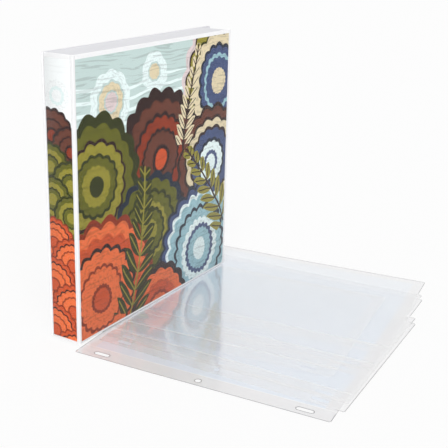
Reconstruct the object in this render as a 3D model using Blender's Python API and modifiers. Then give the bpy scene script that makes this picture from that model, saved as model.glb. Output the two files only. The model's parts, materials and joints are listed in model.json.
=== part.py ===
"""A closing case binder with a three-ring mechanism, standing on a fan of three-hole pages.

Metres, +Z up. The case stands square to the axes: its spine faces -X and its front cover faces -Y.
Sizes in the case are counted from its lower corner where the outer planes of spine and front meet.
"""

import math

import bmesh
import bpy
from mathutils import Matrix, Vector

# Case
CASE_WIDTH = 0.281
CASE_HEIGHT = 0.2925
CASE_DEPTH = 0.0388
CASE_CORNER = 0.003
PANEL_THICKNESS = 0.0016
PANEL_OVERHANG = 0.001
WALL_THICKNESS = 0.0018
FINGER_LIP = 0.012
RIM_HEIGHT = 0.003
RIM_THICKNESS = 0.0012
RIM_TO_HINGE = 0.006

# Clear pockets and the sheets in them
FILM_THICKNESS = 0.00025
INSERT_THICKNESS = 0.0002
FILM_MARGIN = 0.0004
WELD_AT_HINGE = 0.0005
WELD_AT_FORE_EDGE = 0.0036
WELD_AT_FOOT = 0.0018
INSERT_BELOW_TOP = 0.0043

# Ring mechanism
HOUSING_WIDTH = 0.022
HOUSING_HEIGHT = 0.0066
HOUSING_SIDE_HEIGHT = 0.0036
HOUSING_PLATE = 0.0008
HOUSING_LIP = 0.0016
BLADE_THICKNESS = 0.0012
BLADE_PIVOT_INSET = 0.0004
OPEN_ANGLE = math.radians(16)
WIRE_RADIUS = 0.0018
RING_SINK = 0.003
RING_HEADROOM = 0.0015
RING_TO_SPINE = 0.004
RING_LEG_INSET = 0.0048
RING_INSET = 0.02295
SLOT_MARGIN = 0.0006
RIVET_HEAD_RADIUS = 0.0036
RIVET_HEAD_HEIGHT = 0.0014
RIVET_SHANK_RADIUS = 0.0016
RIVET_SEAT_DEPTH = 0.0008
LEVER_ROOM = 0.0125
LEVER_WIDTH = 0.006
LEVER_HUB_RADIUS = 0.0019
LEVER_TONGUE = 0.001
LEVER_TONGUE_THICKNESS = 0.0008
LEVER_ARM_OUT = 0.0046
LEVER_ARM_BEND = 0.0045
LEVER_ARM_HEIGHT = 0.012
LEVER_ARM_THICKNESS = 0.0016
LEVER_PAD_WIDTH = 0.013
LEVER_PAD_HEIGHT = 0.005
LEVER_PAD_THICKNESS = 0.0026
LEVER_PAD_ROUND = 0.0008
PIN_RADIUS = 0.0009

# Pages
PAGE_LENGTH = 0.270
PAGE_WIDTH = 0.215
PAGE_THICKNESS = 0.0002
PAGE_CORNER = 0.002
HOLE_TO_EDGE = 0.0085
HOLE_RADIUS = 0.003
SLOT_RADIUS = 0.0025
SLOT_LENGTH = 0.017

# Where the fan lies: the middle hole of its front page, and the way its binding edges run
FAN_PLACE = (0.0101, -0.1376)
FAN_TURN = math.radians(-83.6)

# The fan from the floor up: each page's shift along the binding edge, its shift inwards and its turn
FAN_ALONG = (-0.027, -0.0015, 0.0045, 0.0030, 0.0020, 0.0011, 0.0046, -0.025)
FAN_INWARDS = (0.0460, -0.0076, 0.0201, 0.0329, 0.0847, 0.0955, 0.1316, 0.0620)
FAN_TURNS = tuple(math.radians(turn) for turn in (-0.4, -0.8, -3.35, -2.8, -1.7, -1.0, 1.5, 1.5))

# Fits
FIT_GAP = 0.0003
SHEET_GAP = 0.0001
RUNNING_GAP = 0.0004
PIN_GAP = 0.00015

# How finely round shapes are cut
ROUND_SIDES = 16
CORNER_STEPS = 4
ARC_STEP = math.radians(12)

# The skin of a pocket over its panel, and the whole build-up from outer plane to inner face
skin = FILM_THICKNESS + INSERT_THICKNESS + 2 * SHEET_GAP
lining = skin + PANEL_THICKNESS
hinge_radius = lining / 2
hinge_edge = lining + FIT_GAP

# The back panel's inner face, and the clear height and depth inside the case
seat = CASE_DEPTH - lining
room_depth = CASE_DEPTH - 2 * lining
room_half_height = CASE_HEIGHT / 2 - PANEL_OVERHANG - WALL_THICKNESS
middle = CASE_HEIGHT / 2

# Ring mechanism, across from its middle line and up from the back panel
housing_half_width = HOUSING_WIDTH / 2
housing_half_length = room_half_height - LEVER_ROOM
inner_half_width = housing_half_width - HOUSING_PLATE
lip_top = FIT_GAP + HOUSING_PLATE
blade_low = lip_top + FIT_GAP
blade_high = blade_low + BLADE_THICKNESS
blade_outer = inner_half_width - FIT_GAP
pivot_across = blade_outer - BLADE_PIVOT_INSET
pivot_height = (blade_low + blade_high) / 2
hole_pitch = housing_half_length - RING_INSET

# The outer ring radius that leaves its headroom under the front cover when it is swung open
ring_foot = HOUSING_HEIGHT - RING_SINK
ring_outer = (
    room_depth
    - RING_HEADROOM
    - pivot_height
    - pivot_across * math.sin(OPEN_ANGLE)
    - (ring_foot - pivot_height) * math.cos(OPEN_ANGLE)
) / (1 + math.cos(OPEN_ANGLE))
ring_radius = ring_outer - WIRE_RADIUS
ring_centre = ring_foot + ring_outer
ring_leg = housing_half_width - RING_LEG_INSET
ring_reach = (
    ring_outer
    + (ring_centre - pivot_height) * math.sin(OPEN_ANGLE)
    + pivot_across * (1 - math.cos(OPEN_ANGLE))
)
ring_line = lining + RING_TO_SPINE + ring_reach
rivet_offset = hole_pitch / 2

# The levers' pins, out from the middle of the mechanism and up from the back panel
lever_height = FIT_GAP + LEVER_HUB_RADIUS
lever_offset = housing_half_length - LEVER_HUB_RADIUS - FIT_GAP
blade_half_length = lever_offset - LEVER_HUB_RADIUS - FIT_GAP
pin_hole = PIN_RADIUS + PIN_GAP

# Height of the case's foot above the floor
case_foot = len(FAN_TURNS) * (PAGE_THICKNESS + SHEET_GAP)


class Pivot:
    """An empty on a joint's axis, with its place counted in the case."""

    def __init__(self, name, place, parent=None):
        self.place = Vector(place)
        self.empty = bpy.data.objects.new(name, None)
        if parent:
            self.empty.parent = parent.empty
            self.empty.location = self.place - parent.place
        parts.objects.link(self.empty)


def clear_scene():
    for obj in list(bpy.data.objects):
        bpy.data.objects.remove(obj, do_unlink=True)


def collection(name):
    made = bpy.data.collections.new(name)
    bpy.context.scene.collection.children.link(made)
    return made


def finish(name, colour, roughness, metallic=0.0, alpha=1.0):
    made = bpy.data.materials.new(name)
    made.use_nodes = True
    shader = made.node_tree.nodes["Principled BSDF"]
    shader.inputs["Base Color"].default_value = (*colour, 1.0)
    shader.inputs["Roughness"].default_value = roughness
    shader.inputs["Metallic"].default_value = metallic
    shader.inputs["Alpha"].default_value = alpha
    return made


def add_piece(name, mesh, pivot, material):
    """A named piece from a mesh that is drawn in the case's own coordinates."""
    mesh.transform(Matrix.Translation(-pivot.place))
    mesh.materials.append(material)
    obj = bpy.data.objects.new(name, mesh)
    obj.parent = pivot.empty
    parts.objects.link(obj)
    return obj


def add_cutter(name, mesh, pivot):
    mesh.transform(Matrix.Translation(-pivot.place))
    obj = bpy.data.objects.new(name, mesh)
    obj.parent = pivot.empty
    obj.hide_render = True
    obj.display_type = "WIRE"
    cutters.objects.link(obj)
    return obj


def apply_boolean(obj, operation, other):
    modifier = obj.modifiers.new(other.name, "BOOLEAN")
    modifier.operation = operation
    modifier.object = other


def mesh_from(bm, name):
    mesh = bpy.data.meshes.new(name)
    bm.to_mesh(mesh)
    bm.free()
    return mesh


def add_box(bm, low, high):
    """A box between two corners, returned as its vertices."""
    low = Vector(low)
    high = Vector(high)
    matrix = Matrix.Translation((low + high) / 2) @ Matrix.Diagonal((*(high - low), 1))
    return bmesh.ops.create_cube(bm, size=1, matrix=matrix)["verts"]


def box_mesh(name, low, high):
    bm = bmesh.new()
    add_box(bm, low, high)
    return mesh_from(bm, name)


def panel_mesh(name, low, high, radius):
    """A box whose two upright fore-edge corners, seen from the front, are rounded."""
    bm = bmesh.new()
    add_box(bm, low, high)
    corners = [
        edge
        for edge in bm.edges
        if abs(edge.verts[0].co.y - edge.verts[1].co.y) > (high[1] - low[1]) / 2
        and edge.verts[0].co.x > (low[0] + high[0]) / 2
    ]
    bmesh.ops.bevel(
        bm, geom=corners, offset=radius, segments=CORNER_STEPS, profile=0.5, affect="EDGES"
    )
    return mesh_from(bm, name)


def add_rod(bm, middle_point, direction, radius, length):
    """A round rod with flat ends about a point."""
    turn = Vector((0, 0, 1)).rotation_difference(Vector(direction)).to_matrix().to_4x4()
    bmesh.ops.create_cone(
        bm,
        cap_ends=True,
        segments=ROUND_SIDES,
        radius1=radius,
        radius2=radius,
        depth=length,
        matrix=Matrix.Translation(middle_point) @ turn,
    )


def rod_mesh(name, middle_point, direction, radius, length):
    bm = bmesh.new()
    add_rod(bm, middle_point, direction, radius, length)
    mesh = mesh_from(bm, name)
    mesh.shade_smooth()
    mesh.set_sharp_from_angle(angle=math.radians(40))
    return mesh


def mesh_of_curve(curve):
    """The closed mesh of a curve, with its caps welded to its sides."""
    obj = bpy.data.objects.new(curve.name, curve)
    parts.objects.link(obj)
    bpy.context.view_layer.update()
    evaluated = obj.evaluated_get(bpy.context.evaluated_depsgraph_get())
    mesh = bpy.data.meshes.new_from_object(evaluated)
    bpy.data.objects.remove(obj, do_unlink=True)
    bm = bmesh.new()
    bm.from_mesh(mesh)
    bmesh.ops.remove_doubles(bm, verts=bm.verts, dist=1e-6)
    bm.to_mesh(mesh)
    bm.free()
    return mesh


def add_spline(curve, points, cyclic):
    spline = curve.splines.new("POLY")
    spline.points.add(len(points) - 1)
    for target, point in zip(spline.points, points):
        target.co = (*point, *[0.0] * (3 - len(point)), 1.0)
    spline.use_cyclic_u = cyclic


def outline_mesh(name, loops, thickness):
    """A flat plate from an outline and its holes, lying about its own middle plane."""
    curve = bpy.data.curves.new(name, "CURVE")
    curve.dimensions = "2D"
    curve.fill_mode = "BOTH"
    curve.extrude = thickness / 2
    for loop in loops:
        add_spline(curve, loop, True)
    return mesh_of_curve(curve)


def wire_mesh(name, points):
    curve = bpy.data.curves.new(name, "CURVE")
    curve.dimensions = "3D"
    curve.bevel_depth = WIRE_RADIUS
    curve.bevel_resolution = 2
    curve.use_fill_caps = True
    add_spline(curve, points, False)
    mesh = mesh_of_curve(curve)
    mesh.shade_smooth()
    mesh.set_sharp_from_angle(angle=math.radians(60))
    return mesh


def arc(centre, radius, start, end, step=ARC_STEP):
    """Points on an arc, both ends included."""
    count = max(2, math.ceil(abs(end - start) / step))
    return [
        (
            centre[0] + radius * math.cos(start + (end - start) * i / count),
            centre[1] + radius * math.sin(start + (end - start) * i / count),
        )
        for i in range(count + 1)
    ]


def on_face(face, across, depth, height):
    """Low and high corner of a box laid on an outer face: across it, in from its outer plane, and up."""
    if face == "spine":
        return (depth[0], across[0], height[0]), (depth[1], across[1], height[1])
    if face == "back":
        return (
            (across[0], CASE_DEPTH - depth[1], height[0]),
            (across[1], CASE_DEPTH - depth[0], height[1]),
        )
    return (across[0], depth[0], height[0]), (across[1], depth[1], height[1])


def wall_frame(name, low, high, thickness, radius, pivot):
    """A wall on three sides of a box, open towards the hinge, the front and the back."""
    frame = add_cutter(name, panel_mesh(name, low, high, radius), pivot)
    hollow = panel_mesh(
        name + "_hollow",
        (low[0] - thickness, low[1] - thickness, low[2] + thickness),
        (high[0] - thickness, high[1] + thickness, high[2] - thickness),
        max(radius - thickness, thickness / 2),
    )
    apply_boolean(frame, "DIFFERENCE", add_cutter(name + "_hollow", hollow, pivot))
    return frame


def make_back_tray():
    """The back panel with its finger lip, and the walls that stand on three of its sides."""
    tray = add_piece(
        "back_tray",
        panel_mesh(
            "back_tray",
            (hinge_edge, seat, 0),
            (CASE_WIDTH + FINGER_LIP, seat + PANEL_THICKNESS, CASE_HEIGHT),
            CASE_CORNER,
        ),
        case,
        white_plastic,
    )
    walls = wall_frame(
        "tray_walls",
        (hinge_edge, hinge_edge, PANEL_OVERHANG),
        (CASE_WIDTH - PANEL_OVERHANG, seat + PANEL_THICKNESS / 2, CASE_HEIGHT - PANEL_OVERHANG),
        WALL_THICKNESS,
        CASE_CORNER,
        case,
    )
    apply_boolean(tray, "UNION", walls)
    bm = bmesh.new()
    for side in (-1, 1):
        add_rod(
            bm,
            (ring_line, seat, middle + side * rivet_offset),
            (0, 1, 0),
            RIVET_SHANK_RADIUS + PIN_GAP,
            2 * (RIVET_SEAT_DEPTH + PIN_GAP),
        )
    seats = add_cutter("rivet_seats", mesh_from(bm, "rivet_seats"), case)
    apply_boolean(tray, "DIFFERENCE", seats)


def make_hinges():
    """The two round hinge beads beside the spine panel."""
    for name, depth, pivot in (
        ("front_hinge", hinge_radius, spine),
        ("rear_hinge", CASE_DEPTH - hinge_radius, case),
    ):
        bead = rod_mesh(name, (hinge_radius, depth, middle), (0, 0, 1), hinge_radius, CASE_HEIGHT)
        add_piece(name, bead, pivot, white_plastic)


def make_spine():
    low = (skin, hinge_edge, 0)
    high = (lining, CASE_DEPTH - hinge_edge, CASE_HEIGHT)
    add_piece("spine_panel", box_mesh("spine_panel", low, high), spine, white_plastic)


def make_front_cover():
    """The front panel with the rim that closes into the tray's walls."""
    panel = panel_mesh(
        "front_cover", (hinge_edge, skin, 0), (CASE_WIDTH, lining, CASE_HEIGHT), CASE_CORNER
    )
    front = add_piece("front_cover", panel, cover, white_plastic)
    inset = PANEL_OVERHANG + WALL_THICKNESS + RUNNING_GAP
    rim = wall_frame(
        "cover_rim",
        (hinge_edge + RIM_TO_HINGE, lining - PANEL_THICKNESS / 2, inset),
        (CASE_WIDTH - inset, lining + RIM_HEIGHT, CASE_HEIGHT - inset),
        RIM_THICKNESS,
        CASE_CORNER,
        cover,
    )
    apply_boolean(front, "UNION", rim)


def make_pocket(face, across, welds, pivot, slide_name):
    """A clear pocket, open at the top, and the sheet that slides in it."""
    height = (FILM_MARGIN, CASE_HEIGHT - FILM_MARGIN)
    name = face + "_pocket"
    low, high = on_face(face, across, (0, skin - SHEET_GAP), height)
    pocket = add_piece(name, box_mesh(name, low, high), pivot, clear_film)
    inside = (across[0] + welds[0], across[1] - welds[1])
    floor = height[0] + WELD_AT_FOOT
    low, high = on_face(face, inside, (FILM_THICKNESS, 2 * skin), (floor, CASE_HEIGHT + FILM_MARGIN))
    hollow = add_cutter(name + "_hollow", box_mesh(name + "_hollow", low, high), pivot)
    apply_boolean(pocket, "DIFFERENCE", hollow)

    sheet_low = FILM_THICKNESS + SHEET_GAP
    low, high = on_face(
        face,
        (inside[0] + FIT_GAP, inside[1] - FIT_GAP),
        (sheet_low, sheet_low + INSERT_THICKNESS),
        (floor + FIT_GAP, CASE_HEIGHT - INSERT_BELOW_TOP),
    )
    foot = Vector(((low[0] + high[0]) / 2, (low[1] + high[1]) / 2, low[2]))
    slide = Pivot(slide_name, foot, pivot)
    name = face + "_insert"
    add_piece(name, box_mesh(name, low, high), slide, printed_paper)


def make_pockets():
    panel_span = (hinge_edge + FILM_MARGIN, CASE_WIDTH - FILM_MARGIN)
    panel_welds = (WELD_AT_HINGE, WELD_AT_FORE_EDGE)
    spine_span = (hinge_edge + FILM_MARGIN, CASE_DEPTH - hinge_edge - FILM_MARGIN)
    make_pocket("front", panel_span, panel_welds, cover, "front_insert_slide")
    make_pocket("spine", spine_span, (WELD_AT_HINGE, WELD_AT_HINGE), spine, "spine_insert_slide")
    make_pocket("back", panel_span, panel_welds, case, "back_insert_slide")


def housing_outline():
    """Section of the housing: an arched plate on two sides whose feet turn inwards, as (across, -up)."""
    rise = HOUSING_HEIGHT - HOUSING_SIDE_HEIGHT
    outer = (housing_half_width**2 + rise**2) / (2 * rise)
    centre = (0, outer - HOUSING_HEIGHT)
    outer_angle = math.asin(housing_half_width / outer)
    inner = outer - HOUSING_PLATE
    inner_angle = math.asin(inner_half_width / inner)
    up = -math.pi / 2
    step = ARC_STEP / 2
    lip_edge = inner_half_width - HOUSING_LIP
    return [
        (-housing_half_width, -FIT_GAP),
        *arc(centre, outer, up - outer_angle, up + outer_angle, step),
        (housing_half_width, -FIT_GAP),
        (lip_edge, -FIT_GAP),
        (lip_edge, -lip_top),
        (inner_half_width, -lip_top),
        *arc(centre, inner, up + inner_angle, up - inner_angle, step),
        (-inner_half_width, -lip_top),
        (-lip_edge, -lip_top),
        (-lip_edge, -FIT_GAP),
    ]


def housing_cutter():
    """Slots for the rings, holes for rivets and pins, and a notch at each end for the lever's arm."""
    bm = bmesh.new()
    beyond = 2 * HOUSING_HEIGHT
    swing = (ring_foot + WIRE_RADIUS) * math.sin(OPEN_ANGLE)
    near = ring_leg - WIRE_RADIUS - SLOT_MARGIN
    far = ring_leg + WIRE_RADIUS + swing + SLOT_MARGIN
    half_slot = WIRE_RADIUS + SLOT_MARGIN
    for side in (-1, 1):
        first, last = sorted((side * near, side * far))
        for step in (-1, 0, 1):
            height = middle + step * hole_pitch
            add_box(
                bm,
                (ring_line + first, seat - beyond, height - half_slot),
                (ring_line + last, seat - blade_high - FIT_GAP, height + half_slot),
            )
        add_rod(
            bm,
            (ring_line, seat - HOUSING_HEIGHT, middle + side * rivet_offset),
            (0, 1, 0),
            RIVET_SHANK_RADIUS + FIT_GAP,
            HOUSING_HEIGHT,
        )
        add_rod(
            bm,
            (ring_line, seat - lever_height, middle + side * lever_offset),
            (1, 0, 0),
            pin_hole,
            2 * HOUSING_WIDTH,
        )
        half_notch = LEVER_WIDTH / 2 + SLOT_MARGIN
        ends = sorted((side * lever_offset, side * (housing_half_length + FIT_GAP)))
        add_box(
            bm,
            (ring_line - half_notch, seat - beyond, middle + ends[0]),
            (ring_line + half_notch, seat - HOUSING_SIDE_HEIGHT, middle + ends[1]),
        )
    return mesh_from(bm, "housing_openings")


def make_housing():
    mesh = outline_mesh("ring_housing", [housing_outline()], 2 * housing_half_length)
    mesh.transform(Matrix.Translation((ring_line, seat, middle)))
    housing = add_piece("ring_housing", mesh, case, bright_steel)
    openings = add_cutter("housing_openings", housing_cutter(), case)
    apply_boolean(housing, "DIFFERENCE", openings)


def flat_on_seat(height):
    """Lays a plate drawn as (across, along) on the back panel, its middle plane at a height over it."""
    return Matrix(
        (
            (1, 0, 0, ring_line),
            (0, 0, -1, seat - height),
            (0, 1, 0, middle),
            (0, 0, 0, 1),
        )
    )


def blade_outline(side):
    """A long strip with a round notch in its inner edge for each rivet, as (across, along)."""
    inner = FIT_GAP / 2
    notch = RIVET_SHANK_RADIUS + 2 * FIT_GAP
    half_angle = math.acos(inner / notch)
    points = [(side * blade_outer, -blade_half_length), (side * inner, -blade_half_length)]
    for offset in (-rivet_offset, rivet_offset):
        for x, y in arc((0, offset), notch, -half_angle, half_angle):
            points.append((side * x, y))
    points += [(side * inner, blade_half_length), (side * blade_outer, blade_half_length)]
    return points


def ring_path(side, height):
    """A half ring from its tip over the middle line, round and down through the housing to its blade."""
    top = -(ring_centre + ring_radius)
    shoulder = 2 * WIRE_RADIUS / ring_radius
    leg = math.acos(ring_leg / ring_radius)
    points = [(FIT_GAP / 2, top), (WIRE_RADIUS, top)]
    points += arc((0, -ring_centre), ring_radius, shoulder - math.pi / 2, leg)
    points.append((ring_leg, -(blade_high + SHEET_GAP)))
    return [(ring_line + side * x, seat + y, height) for x, y in points]


def make_blades_and_rings():
    for name, side, pivot in (("left", -1, blade_left), ("right", 1, blade_right)):
        mesh = outline_mesh("blade_" + name, [blade_outline(side)], BLADE_THICKNESS)
        mesh.transform(flat_on_seat(pivot_height))
        add_piece("blade_" + name, mesh, pivot, bright_steel)
        for place, step in (("bottom", -1), ("middle", 0), ("top", 1)):
            ring = f"ring_{name}_{place}"
            points = ring_path(side, middle + step * hole_pitch)
            add_piece(ring, wire_mesh(ring, points), pivot, bright_steel)


def lever_outline():
    """Side view of a lever about its pin, as (out, up): tongue under the blades, hub, arm."""
    hub = LEVER_HUB_RADIUS
    tongue_tip = hub + FIT_GAP + LEVER_TONGUE
    tongue_top = LEVER_TONGUE_THICKNESS - hub
    half_arm = LEVER_ARM_THICKNESS / 2
    bend = LEVER_ARM_OUT - half_arm
    return [
        (-tongue_tip, -hub),
        *arc((0, 0), hub, -math.pi / 2, 0),
        (bend + half_arm, LEVER_ARM_BEND - half_arm),
        (LEVER_ARM_OUT + half_arm, LEVER_ARM_HEIGHT),
        (LEVER_ARM_OUT - half_arm, LEVER_ARM_HEIGHT),
        (bend - half_arm, LEVER_ARM_BEND + half_arm),
        *arc((0, 0), hub, math.pi / 2, math.pi),
        (-hub, tongue_top),
        (-tongue_tip, tongue_top),
    ]


def make_lever(name, side, pivot):
    """One lever with its finger pad, on a pin across the end of the housing."""
    bore = arc((0, 0), pin_hole, 0, 2 * math.pi, 2 * math.pi / ROUND_SIDES)[:-1]
    stand = Matrix.Translation(pivot.place) @ Matrix(
        ((0, 0, side, 0), (0, -1, 0, 0), (side, 0, 0, 0), (0, 0, 0, 1))
    )
    mesh = outline_mesh("lever_" + name, [lever_outline(), bore], LEVER_WIDTH)
    mesh.transform(stand)
    lever = add_piece("lever_" + name, mesh, pivot, bright_steel)
    bm = bmesh.new()
    half_pad = (LEVER_PAD_THICKNESS / 2, LEVER_PAD_HEIGHT / 2, LEVER_PAD_WIDTH / 2)
    centre = Vector((LEVER_ARM_OUT, LEVER_ARM_HEIGHT, 0))
    add_box(bm, centre - Vector(half_pad), centre + Vector(half_pad))
    bmesh.ops.bevel(
        bm, geom=bm.edges[:], offset=LEVER_PAD_ROUND, segments=2, profile=0.5, affect="EDGES"
    )
    pad = mesh_from(bm, f"lever_{name}_pad")
    pad.transform(stand)
    apply_boolean(lever, "UNION", add_cutter(pad.name, pad, pivot))
    pin = rod_mesh(
        "lever_pin_" + name, pivot.place, (1, 0, 0), PIN_RADIUS, HOUSING_WIDTH + 2 * FIT_GAP
    )
    add_piece("lever_pin_" + name, pin, case, dull_steel)


def make_rivet(name, height):
    """A domed rivet through the crown of the housing into the back panel, turned about its own axis."""
    head = HOUSING_HEIGHT + FIT_GAP
    foot = -RIVET_SEAT_DEPTH
    dome = [
        (RIVET_HEAD_RADIUS * math.sin(i * math.pi / 8), head + RIVET_HEAD_HEIGHT * math.cos(i * math.pi / 8))
        for i in range(5)
    ]
    profile = [*dome, (RIVET_SHANK_RADIUS, head), (RIVET_SHANK_RADIUS, foot), (0, foot)]
    mesh = bpy.data.meshes.new(name)
    edges = [(i, i + 1) for i in range(len(profile) - 1)]
    mesh.from_pydata([(radius, 0, up) for radius, up in profile], edges, [])
    mesh.materials.append(dull_steel)
    rivet = bpy.data.objects.new(name, mesh)
    rivet.parent = case.empty
    rivet.location = (ring_line, seat, height)
    rivet.rotation_euler.x = math.pi / 2
    parts.objects.link(rivet)
    turn = rivet.modifiers.new("turn", "SCREW")
    turn.steps = ROUND_SIDES
    turn.render_steps = ROUND_SIDES
    turn.use_merge_vertices = True
    turn.merge_threshold = 1e-6


def make_ring_mechanism():
    make_housing()
    make_blades_and_rings()
    make_lever("top", 1, lever_top)
    make_lever("bottom", -1, lever_bottom)
    make_rivet("rivet_top", middle + rivet_offset)
    make_rivet("rivet_bottom", middle - rivet_offset)


def rounded_rectangle(low, high, radius):
    points = []
    quarter = math.pi / 2
    for i, (x, y) in enumerate(
        (
            (high[0] - radius, high[1] - radius),
            (low[0] + radius, high[1] - radius),
            (low[0] + radius, low[1] + radius),
            (high[0] - radius, low[1] + radius),
        )
    ):
        points += arc((x, y), radius, i * quarter, (i + 1) * quarter, quarter / CORNER_STEPS)
    return points


def page_loops():
    """Outline of a page and its holes: a round one in the middle of the binding edge, a slot to each side."""
    half = PAGE_LENGTH / 2
    loops = [rounded_rectangle((-half, 0), (half, PAGE_WIDTH), PAGE_CORNER)]
    side = 2 * math.pi / ROUND_SIDES
    loops.append(arc((0, HOLE_TO_EDGE), HOLE_RADIUS, 0, 2 * math.pi, side)[:-1])
    reach = SLOT_LENGTH / 2 - SLOT_RADIUS
    for centre in (-hole_pitch, hole_pitch):
        right = arc((centre + reach, HOLE_TO_EDGE), SLOT_RADIUS, -math.pi / 2, math.pi / 2, 2 * side)
        left = arc((centre - reach, HOLE_TO_EDGE), SLOT_RADIUS, math.pi / 2, 3 * math.pi / 2, 2 * side)
        loops.append(right + left)
    return loops


def make_pages():
    for i, (along, inwards, turn) in enumerate(zip(FAN_ALONG, FAN_INWARDS, FAN_TURNS)):
        name = f"page_{i + 1}"
        mesh = outline_mesh(name, page_loops(), PAGE_THICKNESS)
        mesh.materials.append(clear_film)
        page = bpy.data.objects.new(name, mesh)
        page.parent = fan.empty
        page.location = (along, inwards, i * (PAGE_THICKNESS + SHEET_GAP) + PAGE_THICKNESS / 2)
        page.rotation_euler.z = turn
        parts.objects.link(page)


def ground_extent():
    """Low and high corner, on the floor, of the case and every page, counted in the case."""
    points = [Vector((0, 0)), Vector((CASE_WIDTH + FINGER_LIP, CASE_DEPTH))]
    fan_turn = Matrix.Rotation(FAN_TURN, 2)
    for along, inwards, turn in zip(FAN_ALONG, FAN_INWARDS, FAN_TURNS):
        page_turn = Matrix.Rotation(turn, 2)
        for x in (-PAGE_LENGTH / 2 + PAGE_CORNER, PAGE_LENGTH / 2 - PAGE_CORNER):
            for y in (PAGE_CORNER, PAGE_WIDTH - PAGE_CORNER):
                corner = Vector((along, inwards)) + page_turn @ Vector((x, y))
                centre = Vector(FAN_PLACE) + fan_turn @ corner
                points.append(centre - Vector((PAGE_CORNER, PAGE_CORNER)))
                points.append(centre + Vector((PAGE_CORNER, PAGE_CORNER)))
    low = Vector((min(p.x for p in points), min(p.y for p in points)))
    high = Vector((max(p.x for p in points), max(p.y for p in points)))
    return low, high


clear_scene()
parts = collection("case_binder")
cutters = collection("cutters")

white_plastic = finish("white_plastic", (0.86, 0.86, 0.87), 0.4)
clear_film = finish("clear_film", (0.93, 0.95, 0.97), 0.12, alpha=0.35)
printed_paper = finish("printed_paper", (0.62, 0.55, 0.42), 0.5)
bright_steel = finish("bright_steel", (0.78, 0.78, 0.8), 0.18, metallic=1.0)
dull_steel = finish("dull_steel", (0.6, 0.6, 0.62), 0.35, metallic=1.0)

case = Pivot("case_foot", (0, 0, 0))
spine = Pivot("spine_axis", (hinge_radius, CASE_DEPTH - hinge_radius, 0), case)
cover = Pivot("cover_axis", (hinge_radius, hinge_radius, 0), spine)
blade_left = Pivot("blade_left_axis", (ring_line - pivot_across, seat - pivot_height, middle), case)
blade_right = Pivot("blade_right_axis", (ring_line + pivot_across, seat - pivot_height, middle), case)
lever_top = Pivot("lever_top_axis", (ring_line, seat - lever_height, middle + lever_offset), case)
lever_bottom = Pivot("lever_bottom_axis", (ring_line, seat - lever_height, middle - lever_offset), case)
fan = Pivot("page_fan", (*FAN_PLACE, -case_foot), case)
fan.empty.rotation_euler.z = FAN_TURN

# The middle of everything on the floor is the origin
extent_low, extent_high = ground_extent()
case.empty.location = (*(-(extent_low + extent_high) / 2), case_foot)

make_back_tray()
make_hinges()
make_spine()
make_front_cover()
make_pockets()
make_ring_mechanism()
make_pages()
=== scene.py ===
"""Looks for a closing case binder that stands on a fan of clear pages.

Laid out as an add-on and run as a script: main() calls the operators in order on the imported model.
"""

import json
import math

import bmesh
import bpy
from bpy.props import FloatProperty, FloatVectorProperty, PointerProperty
from bpy.types import Operator, Panel, PropertyGroup
from mathutils import Matrix, Vector

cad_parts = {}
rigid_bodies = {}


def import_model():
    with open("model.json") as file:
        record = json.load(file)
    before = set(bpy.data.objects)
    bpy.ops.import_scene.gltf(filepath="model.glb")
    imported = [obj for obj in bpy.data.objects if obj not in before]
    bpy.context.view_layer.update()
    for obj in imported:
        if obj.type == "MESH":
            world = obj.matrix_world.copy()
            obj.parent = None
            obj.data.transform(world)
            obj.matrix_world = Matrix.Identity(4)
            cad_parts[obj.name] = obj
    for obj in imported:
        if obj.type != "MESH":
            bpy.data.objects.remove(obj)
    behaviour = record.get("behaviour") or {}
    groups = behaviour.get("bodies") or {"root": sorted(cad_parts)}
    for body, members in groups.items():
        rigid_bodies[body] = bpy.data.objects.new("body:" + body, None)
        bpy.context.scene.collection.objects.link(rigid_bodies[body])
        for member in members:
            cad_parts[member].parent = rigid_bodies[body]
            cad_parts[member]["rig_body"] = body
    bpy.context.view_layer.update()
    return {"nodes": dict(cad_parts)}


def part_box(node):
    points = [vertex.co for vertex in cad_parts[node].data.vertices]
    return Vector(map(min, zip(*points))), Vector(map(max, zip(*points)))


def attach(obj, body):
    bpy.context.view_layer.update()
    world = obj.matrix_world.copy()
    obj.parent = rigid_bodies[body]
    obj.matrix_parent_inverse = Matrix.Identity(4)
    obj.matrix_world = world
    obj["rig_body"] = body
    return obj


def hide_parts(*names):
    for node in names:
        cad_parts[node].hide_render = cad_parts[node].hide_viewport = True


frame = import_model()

bl_info = {
    "name": "Case Binder Looks",
    "version": (1, 0, 0),
    "blender": (4, 5, 0),
    "location": "View3D > Sidebar > Binder",
    "description": "Dresses the case binder and its clear pages, and sets the stage for a picture",
    "category": "Object",
}

nodes = frame["nodes"]

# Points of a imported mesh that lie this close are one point.
SAME_POINT = 2e-6
# Faces that bend less than this are one flat face.
FLAT_BEND = math.radians(0.5)
# Edges of boards, plates and sheets that bend more than this are rounded.
ROUNDED_BEND = math.radians(40)
# Edges of hinges and pages that bend more than this stay sharp.
SHARP_BEND = math.radians(50)
# Lines scored along a hinge, all round.
HINGE_SCORES = 8
# Straight steps in a ring's arc, and in the bend above its foot.
ARC_STEPS = 44
FOOT_STEPS = 8
# How much clear plastic mirrors where it is looked at straight on.
HEAD_ON = 0.04
# How many clear layers a ray passes through.
CLEAR_LAYERS = 48
# A page's points hold 1 in this attribute where no other page lies over or under them.
BARE = "bare"

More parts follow.
